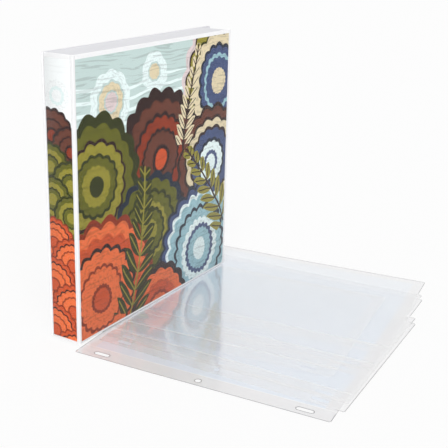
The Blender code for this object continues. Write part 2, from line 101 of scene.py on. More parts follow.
# The prints' rosettes, from the lowest layer up: how many petals, where each ring of ink starts
# as a share of the radius, and the places as across, up and radius in sheet widths.
FRONT_ROSETTES = (
    (10, "0 rose, 0.3 aqua, 0.36 cream, 0.6 aqua, 0.68 mist", ((0.19, 0.87, 0.12),)),
    (8, "0 cream, 0.4 aqua, 0.5 mist", ((0.46, 0.95, 0.08),)),
    (
        18,
        "0 cream, 0.18 slate, 0.34 powder, 0.4 slate, 0.5 night, "
        "0.55 cream, 0.7 moss, 0.74 straw, 0.86 umber, 0.9 rose",
        ((0.93, 0.85, 0.3),),
    ),
    (
        20,
        "0 ember, 0.14 umber, 0.2 brown, 0.38 umber, 0.43 rust, 0.58 umber, 0.64 brown, 0.82 umber",
        ((0.5, 0.6, 0.29),),
    ),
    (
        16,
        "0 moss, 0.15 straw, 0.3 olive, 0.42 moss, 0.47 straw, 0.62 umber, 0.67 olive, 0.85 moss",
        ((0.1, 0.58, 0.27),),
    ),
    (
        16,
        "0 mist, 0.14 slate, 0.2 mist, 0.34 night, 0.4 slate, "
        "0.56 umber, 0.62 cream, 0.74 umber, 0.8 brown, 0.93 umber",
        ((0.88, 0.5, 0.27),),
    ),
    (
        16,
        "0 straw, 0.2 olive, 0.36 moss, 0.42 straw, 0.5 olive, 0.66 moss, 0.72 olive, 0.88 night",
        ((0.43, 0.32, 0.25),),
    ),
    (
        22,
        "0 mist, 0.16 powder, 0.3 slate, 0.36 mist, 0.46 powder, "
        "0.6 night, 0.66 powder, 0.8 mist, 0.86 slate, 0.94 night",
        ((0.8, 0.13, 0.31),),
    ),
    (
        20,
        "0 ember, 0.14 rust, 0.18 orange, 0.38 rust, 0.42 orange, "
        "0.6 umber, 0.65 ember, 0.78 orange, 0.92 rust",
        ((0.12, 0.13, 0.33),),
    ),
    (14, "0 orange, 0.3 rust, 0.37 ember, 0.6 orange, 0.85 umber", ((0.5, -0.04, 0.2),)),
)
SPINE_ROSETTES = (
    (10, "0 frost, 0.4 mist, 0.6 frost", ((0.45, 8.0, 0.5),)),
    (
        16,
        "0 rust, 0.2 umber, 0.3 brown, 0.55 umber, 0.62 brown, 0.88 umber",
        ((0.2, 6.75, 0.9), (0.95, 6.3, 0.85)),
    ),
    (
        14,
        "0 straw, 0.25 olive, 0.42 moss, 0.5 straw, 0.7 olive, 0.88 moss",
        ((0.1, 5.75, 0.8), (0.9, 5.25, 0.8), (0.15, 4.7, 0.8), (0.9, 4.2, 0.75)),
    ),
    (
        18,
        "0 ember, 0.2 rust, 0.26 orange, 0.5 rust, 0.55 orange, 0.74 umber, 0.8 ember, 0.93 rust",
        (
            (0.15, 3.25, 0.9), (0.9, 2.6, 0.95), (0.1, 1.8, 1.0),
            (0.9, 1.0, 1.0), (0.1, 0.2, 1.0), (0.9, -0.5, 0.9),
        ),
    ),
)
BACK_ROSETTES = (
    (
        24,
        "0 aqua, 0.3 mist, 0.36 powder, 0.6 mist, 0.66 aqua, 0.9 mist, 0.94 powder",
        ((0.5, 0.55, 0.36),),
    ),
    (24, "0 orange, 0.3 rust, 0.35 ember, 0.6 orange, 0.9 rust", ((0.5, -0.05, 0.42),)),
)


def colour(name, description, *display):
    """A colour property whose default is given as display values from 0 to 255."""
    linear = [((value / 255 + 0.055) / 1.055) ** 2.4 for value in display]
    return FloatVectorProperty(
        name=name, description=description, subtype="COLOR", size=3, min=0, max=1, default=linear
    )


def length(name, description, default):
    """A length property in metres."""
    return FloatProperty(
        name=name, description=description, default=default, min=0, unit="LENGTH", precision=5
    )


def share(name, description, default):
    """A property from 0 to 1."""
    return FloatProperty(
        name=name, description=description, default=default, min=0, max=1, subtype="FACTOR"
    )


def angle(name, description, degrees):
    """An angle property whose default is given in degrees."""
    return FloatProperty(
        name=name, description=description, default=math.radians(degrees), unit="ROTATION"
    )


def amount(name, description, default, unit="NONE"):
    """A property from 0 up."""
    return FloatProperty(name=name, description=description, default=default, min=0, unit=unit)


def direction(name, description, *default):
    """A property that says where something comes from, seen from the binder."""
    return FloatVectorProperty(
        name=name, description=description, subtype="DIRECTION", size=3, default=default
    )


class CaseSettings(PropertyGroup):
    """The moulded case and its clear pockets."""

    cover_white: colour("Cover White", "Plastic of the covers, spine and hinges", 248, 248, 249)
    # The tray's colour is the cover white made greyer: painted shade on the tray and its walls.
    tray_shaded_white: colour("Tray White", "Plastic of the tray and its walls", 226, 226, 230)
    roughness: share("Roughness", "Satin of the moulded plastic", 0.42)
    grain: length("Grain", "Size of one grain of the moulded surface", 0.0006)
    edge_round: length("Edge Round", "Rounding of the panels' edges", 0.0004)
    score_depth: length("Score Depth", "Depth of the lines scored along a hinge", 0.00012)
    film_tint: colour("Film Tint", "Haze of the clear pockets", 245, 247, 250)
    film_shine: share("Film Shine", "How strongly the pockets mirror the room", 0.12)
    film_haze: share("Film Haze", "How much of the pockets' film is milky", 0.004)
    film_sag: length("Film Sag", "How far the pockets' film waves", 0.0012)
    film_round: length("Film Round", "Rounding of the pockets' edges", 0.00008)
    weld_haze: share("Weld Haze", "How much milkier a pocket's weld is", 0.05)
    weld_rib: length("Weld Rib", "Height of the ribs that knurl a weld", 0.00006)


class PrintSettings(PropertyGroup):
    """Inks of the printed sheets behind the pockets."""

    paper: colour("Paper", "Bare paper at the back of a sheet", 243, 242, 238)
    frost: colour("Frost", "Nearly white ground", 250, 254, 254)
    mist: colour("Mist", "Pale blue green", 234, 248, 247)
    aqua: colour("Aqua", "Pale ground", 196, 215, 212)
    powder: colour("Powder", "Light blue", 158, 196, 205)
    slate: colour("Slate", "Slate blue", 70, 84, 124)
    night: colour("Night", "Darkest blue", 34, 42, 58)
    cream: colour("Cream", "Warm pale ink", 226, 212, 178)
    rose: colour("Rose", "Pale pink ink", 224, 208, 208)
    straw: colour("Straw", "Yellow green", 150, 142, 52)
    olive: colour("Olive", "Middle green", 100, 100, 30)
    moss: colour("Moss", "Dark green", 52, 56, 20)
    brown: colour("Brown", "Warm brown", 104, 58, 44)
    umber: colour("Umber", "Dark brown", 50, 30, 27)
    rust: colour("Rust", "Red brown", 142, 54, 28)
    ember: colour("Ember", "Deep orange", 208, 86, 44)
    orange: colour("Orange", "Bright orange", 236, 116, 64)
    roughness: share("Roughness", "Finish of the coated paper", 0.42)
    edge_round: length("Edge Round", "Rounding of a sheet's edges", 0.00002)


class PageSettings(PropertyGroup):
    """The clear hole-punched pages."""

    tint: colour("Pocket Tint", "Colour of the double film of a page's pocket", 236, 244, 255)
    strip: colour("Strip Tint", "Colour of the binding strip and the hem", 242, 242, 244)
    weld: colour("Weld", "Colour of the weld beside the binding strip", 253, 254, 255)
    # The grey of cut edges and hole rims is partly the film's edge and partly painted shadow.
    edge: colour("Edge", "Colour of the cut edges and hole rims", 104, 105, 109)
    haze: share("Haze", "How much of the pocket's film is milky", 0.28)
    strip_haze: share("Strip Haze", "How much of the binding strip is milky", 0.24)
    weld_haze: share("Weld Haze", "How much of the weld is milky", 0.5)
    # How solid the grey of the cut edges is: the film's edge with painted shadow.
    edge_shadow_haze: share("Edge Haze", "How solid the cut edges look", 0.6)
    # The grey rings round the holes are painted shadow in the holes; the front page's are strong,
    # the others' faint.
    front_rim_shadow: share("Front Rims", "How solid the front page's hole rims look", 0.85)
    other_rim_shadow: share("Other Rims", "How solid the other pages' hole rims look", 0.02)
    front_milk: amount("Front Milk", "How milky the front page is beside the others", 2.6)
    top_milk: amount("Top Milk", "How milky the top page is beside the others", 0.4)
    shine: share("Shine", "How strongly a page mirrors the room", 0.6)
    gloss: share("Gloss Roughness", "Softness of the reflections", 0.1)
    wave: length("Wave", "How far the film waves", 0.0022)
    strip_width: length("Strip Width", "From the binding edge to the weld of the pocket", 0.0185)
    hem_width: length("Hem Width", "Width of the hem along the other three edges", 0.012)
    weld_width: length("Weld Width", "Width of a welded seam", 0.0014)
    # The grey line along a cut edge is the film's edge with painted shadow.
    edge_width: length("Edge Width", "Width of the grey line along a cut edge", 0.0005)
    # The grey ring round a hole is painted shadow.
    rim_shadow_width: length("Rim Width", "Width of the grey line round a hole", 0.00065)
    hole_pitch: length("Hole Pitch", "From the middle hole to a slot beside it", 0.108)
    hole_line: length("Hole Line", "From the binding edge to the middle of the holes", 0.0085)
    hole_round: length("Hole Round", "Radius of the middle hole", 0.003)
    slot_round: length("Slot Round", "Radius of a slot's ends", 0.0025)
    slot_reach: length("Slot Reach", "From a slot's middle to the centre of its ends", 0.006)
    field: length("Field", "Size of the fields that a page is cut into so that it bends", 0.012)
    flat_room: length("Flat Room", "How far out from the case a page stays flat", 0.012)
    fall_room: length("Fall Room", "Over how much length a page then comes down", 0.07)
    lie_reach: length("Lie Reach", "How far out a page comes down from the one below", 0.03)
    bare_gap: length("Bare Gap", "How far off other pages lie where an edge is bare", 0.001)


class MetalSettings(PropertyGroup):
    """The ring mechanism."""

    nickel: colour("Nickel", "Plating of the rings, housing and levers", 214, 213, 210)
    steel: colour("Steel", "Bare steel of pins and rivets", 176, 176, 180)
    roughness: share("Roughness", "Polish of the plating", 0.17)
    steel_roughness: share("Steel Roughness", "Polish of the bare steel", 0.34)
    edge_round: length("Edge Round", "Rounding of the stamped edges", 0.00015)
    foot_bend: length("Foot Bend", "Length of the bend above a ring's foot", 0.0024)


class StageSettings(PropertyGroup):
    """Camera, lamps and floor."""

    camera_place: FloatVectorProperty(
        name="Camera Place",
        description="Where the camera stands",
        subtype="TRANSLATION",
        unit="LENGTH",
        size=3,
        default=(-0.7968, -0.4258, 0.4133),
    )
    heading: angle("Heading", "Turn of the camera to the right of straight ahead", 57.5)
    downward: angle("Downward", "Tilt of the camera below the horizon", 18.3)
    roll: angle("Roll", "Turn of the camera about its own axis", 1.2)
    lens: amount("Lens", "Focal length on a 36 mm sensor", 70.8, "CAMERA")
    shift: FloatVectorProperty(
        name="Shift", description="Shift of the lens", size=2, default=(0.052, -0.025)
    )
    ambient: amount("Ambient", "Light from all round", 0.52)
    key: amount("Key", "Strength of the main lamp", 1.9, "POWER")
    key_from: direction("Key From", "Where the main lamp stands", -0.62, -0.5, 0.6)
    key_spread: angle("Key Spread", "How wide the main lamp looks", 50)
    fill: amount("Fill", "Strength of the lamp from above", 0.1, "POWER")
    fill_from: direction("Fill From", "Where the lamp from above stands", 0.1, -0.35, 1.0)
    fill_spread: angle("Fill Spread", "How wide the lamp from above looks", 70)
    floor: colour("Floor", "Colour of the floor", 246, 246, 246)
    floor_glow: share("Floor White", "How far the floor is lifted to white where it is seen", 0.88)
    floor_reach: length("Floor Reach", "How far the floor goes to each side", 40.0)
    floor_drop: length("Floor Drop", "How far the floor lies under the pages", 0.0004)


class Value:
    """A shader socket that takes part in Python expressions."""

    def __init__(self, finish, socket):
        self.finish = finish
        self.socket = socket

    def __getitem__(self, output):
        """Another output of the same node."""
        return Value(self.finish, self.socket.node.outputs[output])

    def __add__(self, other):
        return self.finish.math("ADD", self, other)

    __radd__ = __add__

    def __sub__(self, other):
        return self.finish.math("SUBTRACT", self, other)

    def __rsub__(self, other):
        return self.finish.math("SUBTRACT", other, self)

    def __mul__(self, other):
        return self.finish.math("MULTIPLY", self, other)

    __rmul__ = __mul__

    def __truediv__(self, other):
        return self.finish.math("DIVIDE", self, other)

    def __rtruediv__(self, other):
        return self.finish.math("DIVIDE", other, self)

    def __pow__(self, other):
        return self.finish.math("POWER", self, other)

    def __rpow__(self, other):
        return self.finish.math("POWER", other, self)

    def __abs__(self):
        return self.finish.math("ABSOLUTE", self)

    def __gt__(self, other):
        return self.finish.math("GREATER_THAN", self, other)

    def __lt__(self, other):
        return self.finish.math("LESS_THAN", self, other)

    def __and__(self, other):
        """The lesser of two values, so of two masks where both hold."""
        return self.finish.math("MINIMUM", self, other)

    __rand__ = __and__

    def __or__(self, other):
        """The greater of two values, so of two masks where either holds."""
        return self.finish.math("MAXIMUM", self, other)

    __ror__ = __or__


class Finish:
    """The nodes of a material or world, added by expressions and by one method for the rest."""

    def __init__(self, owner):
        owner.use_nodes = True
        self.owner = owner
        self.tree = owner.node_tree
        self.tree.nodes.clear()

    def node(self, kind, sockets=None, output=0, stops=None, **settings):
        """Adds a node: its settings and ramp stops first, then its sockets' values and links."""
        made = self.tree.nodes.new("ShaderNode" + kind)
        for key, value in settings.items():
            setattr(made, key, value)
        if stops:
            ramp = made.color_ramp
            ramp.interpolation = "CONSTANT"
            for place, ink in stops[1:]:
                ramp.elements.new(place).color = (*ink, 1)
            ramp.elements[0].color = (*stops[0][1], 1)
            ramp.elements.remove(ramp.elements[-1])
        for key, value in (sockets or {}).items():
            if isinstance(value, Value):
                self.tree.links.new(value.socket, made.inputs[key])
            else:
                made.inputs[key].default_value = value
        return Value(self, made.outputs[output]) if made.outputs else None

    def math(self, operation, *operands):
        return self.node("Math", dict(enumerate(operands)), operation=operation)

    def vector(self, operation, *operands, output=0):
        return self.node("VectorMath", dict(enumerate(operands)), output, operation=operation)

    def mix(self, factor, first, second):
        """Two colours mixed by a factor."""
        inks = [ink if isinstance(ink, Value) else (*ink, 1) for ink in (first, second)]
        sockets = {"Factor": factor, 6: inks[0], 7: inks[1]}
        return self.node("Mix", sockets, 2, data_type="RGBA")

    def noise(self, place, scale, detail=2.0):
        return self.node("TexNoise", {"Vector": place, "Scale": scale, "Detail": detail})

    def stretched_noise(self, place, scales, detail):
        """Noise with a scale of its own along each axis."""
        return self.noise(self.vector("MULTIPLY", place, scales), 1.0, detail)

    def place(self):
        return self.node("TexCoord", output="Object")

    def shaded(self, ink, shade):
        """A colour made darker by a value."""
        return self.node("VectorMath", {0: ink, "Scale": shade}, operation="SCALE")

    def blend(self, factor, first, second):
        """Two shaders mixed by a factor."""
        return self.node("MixShader", {0: factor, 1: first, 2: second})

    def show(self, surface, output="OutputMaterial"):
        """Makes a shader the one that is seen."""
        self.node(output, {"Surface": surface})
        return self


def new_finish(name):
    """A finish in a material of its own."""
    return Finish(bpy.data.materials.new(name))


def dimmed(ink, part):
    """A plain colour made darker."""
    return [value * part for value in ink]


def plastic_finish(name, white, case):
    """Moulded plastic with a fine satin grain and a faint unevenness."""
    finish = new_finish(name)
    place = finish.place()
    grain = finish.noise(place, scale=1 / case.grain)
    cloud = finish.noise(place, scale=16.0, detail=4.0)
    body = finish.mix(cloud, white, dimmed(white, 0.95))
    bump = finish.node("Bump", {"Height": grain, "Strength": 0.16, "Distance": case.grain / 3})
    rough = case.roughness + 0.12 * (cloud - 0.5) + 0.1 * (grain - 0.5)
    sockets = {"Base Color": body, "Roughness": rough, "Normal": bump}
    return finish.show(finish.node("BsdfPrincipled", sockets))


def glance(finish, shine):
    """How much a clear surface mirrors, which grows towards a flat angle."""
    facing = finish.node("LayerWeight", {"Blend": 0.5}, "Facing")
    return shine * (HEAD_ON + (1 - HEAD_ON) * facing**5)


def film_finish(name, case, insert):
    """Clear welded film: a mirror at flat angles, and knurled where it is welded down."""
    # Turn of the knurl's waves, in radians to the metre.
    ribs = 5200.0
    finish = new_finish(name)
    place = finish.place()
    part = finish.node("SeparateXYZ", {0: place})
    low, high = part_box(insert)
    axis = 1 if high.y - low.y > high.x - low.x else 0
    side = part["XY"[axis]]
    up = part["Z"]
    inside = (side > low[axis]) & (side < high[axis]) & (up > low.z)
    knurl = finish.math("SINE", (side + up) * ribs) * finish.math("SINE", (side - up) * ribs)
    sag = finish.noise(place, scale=9.0)
    height = knurl * (1 - inside) * case.weld_rib + sag * case.film_sag
    bump = finish.node("Bump", {"Height": height, "Strength": 0.5, "Distance": 1.0})
    haze = case.film_haze + case.weld_haze * (1 - inside)
    clear = finish.node("BsdfTransparent")
    sockets = {"Base Color": (*case.film_tint, 1), "Roughness": 0.3, "Normal": bump}
    milk = finish.node("BsdfPrincipled", sockets)
    mirror = finish.node("BsdfGlossy", {"Roughness": 0.06, "Normal": bump})
    body = finish.blend(haze, clear, milk)
    return finish.show(finish.blend(glance(finish, case.film_shine), body, mirror))


def rosette(finish, ground, place, centre, radius, petals, bands):
    """A scalloped medallion of rings, from its middle outwards, brushed along its rings."""
    scallop_depth = 0.09
    stroke_from = 0.58
    stroke_shade = 0.2
    # How fast the strokes change round a rosette and from its middle out.
    round_strokes = 7
    out_strokes = 26
    offset = finish.vector("SUBTRACT", place, (*centre, 0))
    part = finish.node("SeparateXYZ", {0: offset})
    turn = finish.math("ARCTAN2", part["Y"], part["X"])
    scallop = abs(finish.math("SINE", turn * (petals / 2)))
    reach = finish.vector("LENGTH", offset, output=1) / radius
    reach = reach * (1 + scallop_depth - scallop_depth * scallop)
    inks = finish.node("ValToRGB", {"Fac": reach}, stops=bands)
    # The third number only gives each rosette strokes of its own.
    sockets = {0: turn * round_strokes, 1: reach * out_strokes, 2: centre[0] * 9}
    brushed = finish.node("CombineXYZ", sockets)
    stroke = finish.noise(brushed, scale=1.0, detail=1.0) > stroke_from
    return finish.mix(reach < 1, ground, finish.shaded(inks, 1 - stroke_shade * stroke))


def rosettes(finish, ground, place, ink, groups):
    """Lays groups of like rosettes over a ground."""
    for petals, rings, places in groups:
        bands = []
        for ring in rings.split(", "):
            start, name = ring.split()
            bands.append((float(start), getattr(ink, name)))
        for across, up, radius in places:
            ground = rosette(finish, ground, place, (across, up), radius, petals, bands)
    return ground


def sprig(finish, ground, place, root, degrees, reach, bend, leaf, pitch, blade_ink, rib_ink):
    """A bent stem with leaves in pairs that grow shorter towards its tip."""
    taper = 0.7
    lean = 0.9
    fullness = 1.8
    rib_width = 0.06
    rib_end = 0.85
    stem_width = 0.0045
    sockets = {"Vector": place, "Location": (*root, 0), "Rotation": (0, 0, math.radians(degrees))}
    local = finish.node("Mapping", sockets, vector_type="TEXTURE")
    part = finish.node("SeparateXYZ", {0: local})
    along = part["X"]
    across = abs(part["Y"] - bend * along * along)
    far = across / (leaf * (1 - taper * (along / reach) ** 2))
    step = abs(finish.math("FRACT", (along - lean * across) / pitch) - 0.5)
    on_stem = (along > 0) & (along < reach)
    blade = (step < fullness * far * (1 - far)) & (far < 1) & on_stem
    rib = (step < rib_width) & blade & (far < rib_end)
    stem = (across < stem_width) & on_stem
    ground = finish.mix(blade, ground, blade_ink)
    return finish.mix(rib | stem, ground, rib_ink)


def sheet_place(finish, node, axis):
    """Places on a printed sheet in sheet widths from its lower corner, drawn by an uneven hand."""
    uneven = 0.045
    low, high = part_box(node)
    size = high[axis] - low[axis]
    part = finish.node("SeparateXYZ", {0: finish.place()})
    across = (part["XY"[axis]] - low[axis]) / size
    if node == "spine_insert":
        across = 1 - across
    flat = finish.node("CombineXYZ", {0: across, 1: (part["Z"] - low.z) / size})
    wander = finish.noise(flat, scale=4.0, detail=1.0)["Color"]
    moved = finish.vector("SUBTRACT", wander, (0.5, 0.5, 0.5))
    return finish.vector("MULTIPLY_ADD", moved, (uneven, uneven, 0), flat)


def carved(finish, ground, place, shade, size=1.0):
    """Short strokes along the sheet, as a cut block leaves them."""
    cut_from = 0.72
    stroke = finish.stretched_noise(place, (7.0 / size, 105.0 / size, 1.0), detail=1.0)
    deep = finish.noise(place, scale=3.0, detail=1.0)
    cut = (stroke + 0.25 * deep) > cut_from
    return finish.shaded(ground, 1 - shade * cut)


def front_art(finish, place, ink):
    """Overlapping rosettes and leaf sprigs on a pale ground that is striped at the top."""
    stripe_from = 0.6
    lowest = 0.62
    highest = 0.95
    part = finish.node("SeparateXYZ", {0: place})
    up = part["Y"]
    wave = finish.math("SINE", up * 150 + 3 * finish.math("SINE", part["X"] * 7))
    stripes = (wave > stripe_from) & (up > lowest) & (up < highest)
    art = finish.mix(stripes, ink.aqua, ink.mist)
    art = rosettes(finish, art, place, ink, FRONT_ROSETTES)
    art = sprig(
        finish, art, place, root=(0.3, 0.0), degrees=72, reach=0.6, bend=0.25,
        leaf=0.12, pitch=0.066, blade_ink=ink.moss, rib_ink=ink.straw,
    )
    art = sprig(
        finish, art, place, root=(1.0, 0.2), degrees=118, reach=0.5, bend=0.4,
        leaf=0.1, pitch=0.06, blade_ink=ink.straw, rib_ink=ink.umber,
    )
    art = sprig(
        finish, art, place, root=(0.66, 0.62), degrees=82, reach=0.42, bend=-0.3,
        leaf=0.07, pitch=0.045, blade_ink=ink.cream, rib_ink=ink.umber,
    )
    return carved(finish, art, place, shade=0.2)


def spine_art(finish, place, ink):
    """The front sheet's rosettes again, in a tall strip."""
    art = rosettes(finish, ink.frost, place, ink, SPINE_ROSETTES)
    return carved(finish, art, place, shade=0.04, size=6.0)


def back_art(finish, place, ink):
    """Quiet rosettes and one sprig on a pale ground."""
    art = rosettes(finish, ink.mist, place, ink, BACK_ROSETTES)
    art = sprig(
        finish, art, place, root=(0.5, 0.3), degrees=90, reach=0.55, bend=0.0,
        leaf=0.14, pitch=0.07, blade_ink=ink.olive, rib_ink=ink.mist,
    )
    return carved(finish, art, place, shade=0.15)


def print_finish(name, node, axis, outward, art, ink):
    """Ink on coated paper, with the bare paper at its back and edges."""
    finish = new_finish(name)
    place = sheet_place(finish, node, axis)
    normal = finish.node("TexCoord", output="Normal")
    face = finish.vector("DOT_PRODUCT", normal, outward, output=1) > 0.5
    mottle = finish.noise(finish.place(), scale=900.0, detail=3.0)
    inked = finish.shaded(art(finish, place, ink), 0.97 + 0.06 * mottle)
    body = finish.mix(face, ink.paper, inked)
    bump = finish.node("Bump", {"Height": mottle, "Strength": 0.08, "Distance": 0.0002})
    rough = ink.roughness + 0.16 * (mottle - 0.5)
    sockets = {"Base Color": body, "Roughness": rough, "Specular IOR Level": 0.15, "Normal": bump}
    return finish.show(finish.node("BsdfPrincipled", sockets))


def page_finish(name, page, lay, rim_shadow_haze, milkiness):
    """Clear film: a bluish pocket in a clear hem, a bright weld, grey cut edges that are partly
    painted shadow, and grey hole rims that are painted shadow.
    """
    finish = new_finish(name)
    place = finish.place()
    part = finish.node("SeparateXYZ", {0: place})
    along = abs(part["X"])
    inward = part["Y"]
    to_edge = (lay.long / 2 - along) & inward & (lay.wide - inward)
    off_line = (inward - page.hole_line) ** 2
    beyond = (abs(along - page.hole_pitch) - page.slot_reach) | 0
    from_slot = (beyond * beyond + off_line) ** 0.5 - page.slot_round
    from_hole = (along * along + off_line) ** 0.5 - page.hole_round
    # A grey ring round each hole: painted shadow in the hole.
    rim_shadow = rim_shadow_haze * ((from_slot & from_hole) < page.rim_shadow_width)
    # A grey line along the bare cut edges: the film's edge with painted shadow.
    cut = to_edge < page.edge_width
    hem = to_edge < page.hem_width
    strip = inward < page.strip_width
    weld = abs(inward - page.strip_width) < page.weld_width / 2
    bare = finish.node("Attribute", output="Fac", attribute_name=BARE)
    tint = finish.mix(strip | hem, page.tint, page.strip)
    tint = finish.mix(weld, tint, page.weld)
    # Cut edges and hole rims turn grey, partly as painted shadow.
    tint = finish.mix((cut & bare) | rim_shadow, tint, page.edge)
    cloud = finish.noise(place, scale=30.0, detail=1.0)
    haze = page.haze + (page.strip_haze - page.haze) * strip
    haze = milkiness * (haze + 0.02 * (cloud - 0.5))
    haze = haze | (page.weld_haze * weld) | rim_shadow
    upright = finish.node("SeparateXYZ", {0: finish.node("TexCoord", output="Normal")}, "Z")
    top = upright > 0.5
    side = abs(upright) < 0.5
    # The milk is on the upper face alone, so that a ray meets it once in each page.
    haze = (haze * top) | (page.edge_shadow_haze * (cut | side) * bare)
    wave = finish.stretched_noise(place, (5.0, 14.0, 1.0), detail=0.0)
    height = wave * page.wave
    bump = finish.node("Bump", {"Height": height, "Strength": 0.6, "Distance": 1.0})
    clear = finish.node("BsdfTransparent")
    milk = finish.node("BsdfPrincipled", {"Base Color": tint, "Roughness": 0.35, "Normal": bump})
    mirror = finish.node("BsdfGlossy", {"Roughness": page.gloss, "Normal": bump})
    # Shadow rays pass, so that the pages don't darken each other.
    lit = 1 - finish.node("LightPath", output="Is Shadow Ray")
    body = finish.blend(haze * lit, clear, milk)
    # A sheet mirrors at both of its faces.
    once = glance(finish, 1)
    both_faces = 2 * once / (1 + once)
    return finish.show(finish.blend(page.shine * both_faces * top * lit, body, mirror))


def metal_finish(name, plate, roughness, lines):
    """Plated or bare steel with fine drawn lines, so many to the metre along each axis."""
    finish = new_finish(name)
    place = finish.place()
    drawn = finish.stretched_noise(place, lines, detail=3.0)
    cloud = finish.noise(place, scale=60.0, detail=3.0)
    body = finish.mix(cloud, plate, dimmed(plate, 0.8))
    bump = finish.node("Bump", {"Height": drawn, "Strength": 0.05, "Distance": 0.0002})
    rough = roughness + 0.1 * (drawn - 0.5) + 0.08 * (cloud - 0.5)
    sockets = {"Base Color": body, "Roughness": rough, "Metallic": 1.0, "Normal": bump}
    return finish.show(finish.node("BsdfPrincipled", sockets))


def add_object(name, data):
    made = bpy.data.objects.new(name, data)
    bpy.context.scene.collection.objects.link(made)
    return made


def settle(piece, finish, slot, *stood_for):
    """Gives a piece its finish and seats it on the body of the nodes it stands for; the slot is not
    used.
    """
    piece.data.materials.clear()
    piece.data.materials.append(finish.owner)
    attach(piece, nodes[stood_for[0]]["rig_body"])
    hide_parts(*stood_for)


def welded(node):
    """A node's shape with the points of its faces joined."""
    bm = bmesh.new()
    bm.from_mesh(nodes[node].data)
    bmesh.ops.remove_doubles(bm, verts=bm.verts, dist=SAME_POINT)
    return bm


def plain_mesh(name, bm):
    mesh = bpy.data.meshes.new(name)
    bm.to_mesh(mesh)
    bm.free()
    return mesh


def smooth_mesh(name, bm):
    """A mesh with smooth faces that keeps its sharp rims."""
    bm.normal_update()
    for face in bm.faces:
        face.smooth = True
    for edge in bm.edges:
        edge.smooth = edge.calc_face_angle(math.pi) < SHARP_BEND
    return plain_mesh(name, bm)


def rounded_copy(name, node, radius, segments=2):
    """A node's shape with its flat faces made whole and its sharp edges rounded."""
    bm = welded(node)
    bmesh.ops.dissolve_limit(bm, angle_limit=FLAT_BEND, verts=bm.verts, edges=bm.edges)
    mesh = plain_mesh(name, bm)
    mesh.shade_smooth()
    piece = add_object(name, mesh)
    bevel = piece.modifiers.new("edges", "BEVEL")
    bevel.width = radius
    bevel.segments = segments
    bevel.limit_method = "ANGLE"
    bevel.angle_limit = ROUNDED_BEND
    bevel.harden_normals = True
    return piece


class BINDER_OT_case_shell(Operator):
    """Rounds the edges of the tray, the spine and the front cover, and gives them plastic"""

    bl_idname = "binder.case_shell"
    bl_label = "Case Shell"

    def execute(self, context):
        case = context.scene.binder_case
        white = plastic_finish("cover_plastic", case.cover_white, case)
        # The tray takes a greyer copy of the cover plastic, as painted shade.
        grey = plastic_finish("tray_shaded_plastic", case.tray_shaded_white, case)
        for name, node, finish in (
            ("tray_shell", "back_tray", grey),
            ("spine_board", "spine_panel", white),
            ("cover_board", "front_cover", white),
        ):
            settle(rounded_copy(name, node, case.edge_round), finish, "white_plastic", node)
        return {"FINISHED"}


class BINDER_OT_hinges(Operator):
    """Makes the two hinge beads, scored along their length"""

    bl_idname = "binder.hinges"
    bl_label = "Hinges"

    def execute(self, context):
        case = context.scene.binder_case
        white = plastic_finish("hinge_plastic", case.cover_white, case)
        for name, node in (("front_hinge_web", "front_hinge"), ("rear_hinge_web", "rear_hinge")):
            low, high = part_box(node)
            radius = (high.x - low.x) / 2
            bm = bmesh.new()
            bmesh.ops.create_cone(
                bm,
                cap_ends=True,
                segments=64,
                radius1=radius,
                radius2=radius,
                depth=high.z - low.z,
            )
            for vert in bm.verts:
                turn = math.atan2(vert.co.y, vert.co.x)
                depth = case.score_depth * max(0, math.cos(HINGE_SCORES * turn)) ** 4
                vert.co.xy *= 1 - depth / radius
            mesh = smooth_mesh(name, bm)
            mesh.transform(Matrix.Translation((low + high) / 2))
            settle(add_object(name, mesh), white, "white_plastic", node)
        return {"FINISHED"}


class BINDER_OT_pockets(Operator):
    """Makes the clear pockets on the front, spine and back"""

    bl_idname = "binder.pockets"
    bl_label = "Clear Pockets"

    def execute(self, context):
        case = context.scene.binder_case
        for face in ("front", "spine", "back"):
            film = film_finish(f"{face}_film", case, f"{face}_insert")
            piece = rounded_copy(f"{face}_film", f"{face}_pocket", case.film_round, segments=1)
            settle(piece, film, "clear_film", f"{face}_pocket")
        return {"FINISHED"}


class BINDER_OT_prints(Operator):
    """Prints the sheets that slide into the pockets"""

    bl_idname = "binder.prints"
    bl_label = "Printed Sheets"

    def execute(self, context):
        ink = context.scene.binder_print
        for face, axis, outward, art in (
            ("front", 0, (0, -1, 0), front_art),
            ("spine", 1, (-1, 0, 0), spine_art),
            ("back", 0, (0, 1, 0), back_art),
        ):
            node = f"{face}_insert"
            finish = print_finish(f"{face}_print", node, axis, outward, art, ink)
            piece = rounded_copy(f"{face}_sheet", node, ink.edge_round, segments=1)
            settle(piece, finish, "printed_paper", node)
        return {"FINISHED"}


